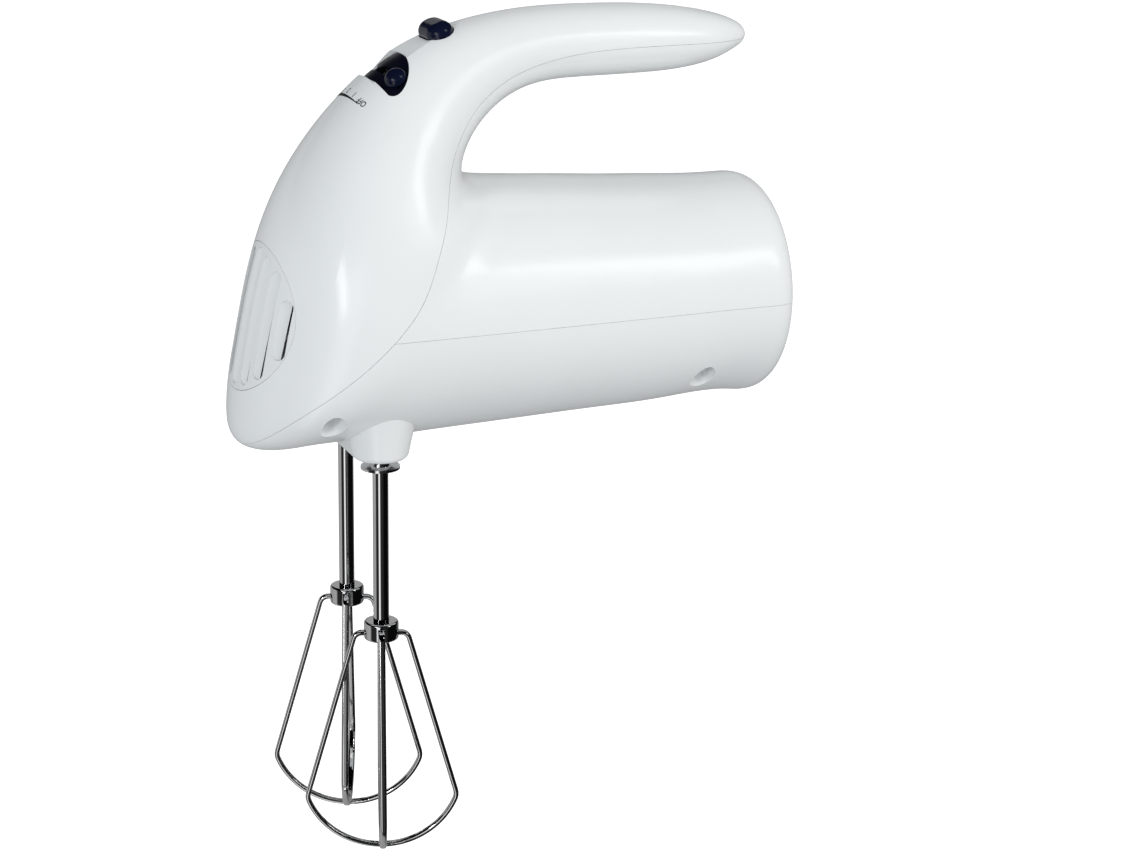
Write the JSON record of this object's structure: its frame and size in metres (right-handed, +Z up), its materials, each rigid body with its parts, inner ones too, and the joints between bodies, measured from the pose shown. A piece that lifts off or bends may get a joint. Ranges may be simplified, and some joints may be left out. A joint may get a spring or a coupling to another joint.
{
  "type": "hand mixer",
  "caption": "Hand-held electric mixer with a horizontal motor barrel, a swept handle, a thumb speed selector, an eject button and a pair of intermeshing wire whisks.",
  "frame": {"origin": "centre of the handle's grip, in the plane of symmetry", "axes": "+X to the rear end of the barrel, +Z up with the whisks pointing down, +Y to the mixer's right when seen by the person holding it"},
  "size_m": [0.1929, 0.0891, 0.2913],
  "materials": {
    "white_gloss": "glossy white moulding",
    "navy_gloss": "glossy very dark blue moulding",
    "steel": "bright steel",
    "lamination": "stacked steel sheets",
    "enamelled_copper": "enamelled copper wire",
    "copper_bars": "copper bars",
    "bronze": "sintered bronze",
    "carbon": "carbon",
    "black_plastic": "black moulding",
    "nylon": "natural nylon",
    "soft_rubber": "light grey soft moulding",
    "board": "phenolic board",
    "chrome_wire": "mirror chrome"
  },
  "bodies": {
    "housing": {"hood_shell": "white_gloss", "neck_shell": "white_gloss", "base_shell": "white_gloss", "vent_grille": "white_gloss", "selector_bezel": "navy_gloss", "shell_screws": "steel", "gear_frame_screws": "steel", "cord_clamp_screws": "steel", "eject_spring": "steel", "brush_spring_left": "steel", "brush_spring_right": "steel", "motor_bracket_front": "steel", "motor_bracket_rear": "steel", "stator_core": "lamination", "field_coil_top": "enamelled_copper", "field_coil_bottom": "enamelled_copper", "bearing_nose": "bronze", "bearing_middle": "bronze", "bearing_motor_front": "bronze", "bearing_motor_rear": "bronze", "brush_holder_left": "bronze", "brush_holder_right": "bronze", "carbon_brush_left": "carbon", "carbon_brush_right": "carbon", "gear_frame": "black_plastic", "speed_switch": "black_plastic", "suppressor_capacitor": "black_plastic", "cord_clamp": "black_plastic", "cord_gland": "soft_rubber", "control_board": "board"},
    "rotor": {"motor_shaft": "steel", "worm": "steel", "armature_core": "lamination", "armature_windings": "enamelled_copper", "commutator": "copper_bars", "cooling_fan": "black_plastic"},
    "drive_left": {"worm_wheel_left": "nylon", "spindle_sleeve_left": "steel"},
    "drive_right": {"worm_wheel_right": "nylon", "spindle_sleeve_right": "steel"},
    "ejector_left": {"ejector_pin_left": "black_plastic"},
    "ejector_right": {"ejector_pin_right": "black_plastic"},
    "beater_left": {"beater_shank_left": "chrome_wire", "beater_hub_left": "chrome_wire", "whisk_upper_left": "chrome_wire", "whisk_lower_left": "chrome_wire", "beater_collar_left": "chrome_wire"},
    "beater_right": {"beater_shank_right": "chrome_wire", "beater_hub_right": "chrome_wire", "whisk_upper_right": "chrome_wire", "whisk_lower_right": "chrome_wire"},
    "selector": {"speed_selector": "navy_gloss"},
    "ejector": {"eject_button": "navy_gloss", "eject_rod": "black_plastic"}
  },
  "joints": [
    {"name": "motor_spin", "type": "hinge", "parent": "housing", "child": "rotor", "pos_m": [-0.088, 0, -0.0886], "axis": [1, 0, 0], "continuous": true},
    {"name": "spindle_left_spin", "type": "hinge", "parent": "housing", "child": "drive_left", "pos_m": [-0.088, -0.019, -0.0886], "axis": [0, 0, 1], "continuous": true},
    {"name": "spindle_right_spin", "type": "hinge", "parent": "housing", "child": "drive_right", "pos_m": [-0.088, 0.019, -0.0886], "axis": [0, 0, 1], "continuous": true},
    {"name": "speed_select", "type": "hinge", "parent": "housing", "child": "selector", "pos_m": [-0.06739, 0, -0.02868], "axis": [-0.8643, 0, -0.503], "range_deg": [0, 53]},
    {"name": "eject_press", "type": "slide", "parent": "housing", "child": "ejector", "axis": [0.3795, 0, -0.9252], "range_m": [0, 0.004], "stiffness_N_per_m": 800, "springref_m": -0.004, "deforming": ["eject_spring"]},
    {"name": "ejector_pin_left_slide", "type": "slide", "parent": "drive_left", "child": "ejector_left", "axis": [0, 0, -1], "range_m": [0, 0.0038]},
    {"name": "beater_left_pull", "type": "slide", "parent": "ejector_left", "child": "beater_left", "axis": [0, 0, -1], "range_m": [0, 0.06]},
    {"name": "ejector_pin_right_slide", "type": "slide", "parent": "drive_right", "child": "ejector_right", "axis": [0, 0, -1], "range_m": [0, 0.0038]},
    {"name": "beater_right_pull", "type": "slide", "parent": "ejector_right", "child": "beater_right", "axis": [0, 0, -1], "range_m": [0, 0.06]}
  ],
  "couplings": [
    {"joint": "spindle_left_spin", "follows": "motor_spin", "ratio": 0.068966},
    {"joint": "spindle_right_spin", "follows": "motor_spin", "ratio": -0.068966},
    {"joint": "ejector_pin_left_slide", "follows": "eject_press", "ratio": 0.92521},
    {"joint": "ejector_pin_right_slide", "follows": "eject_press", "ratio": 0.92521}
  ]
}
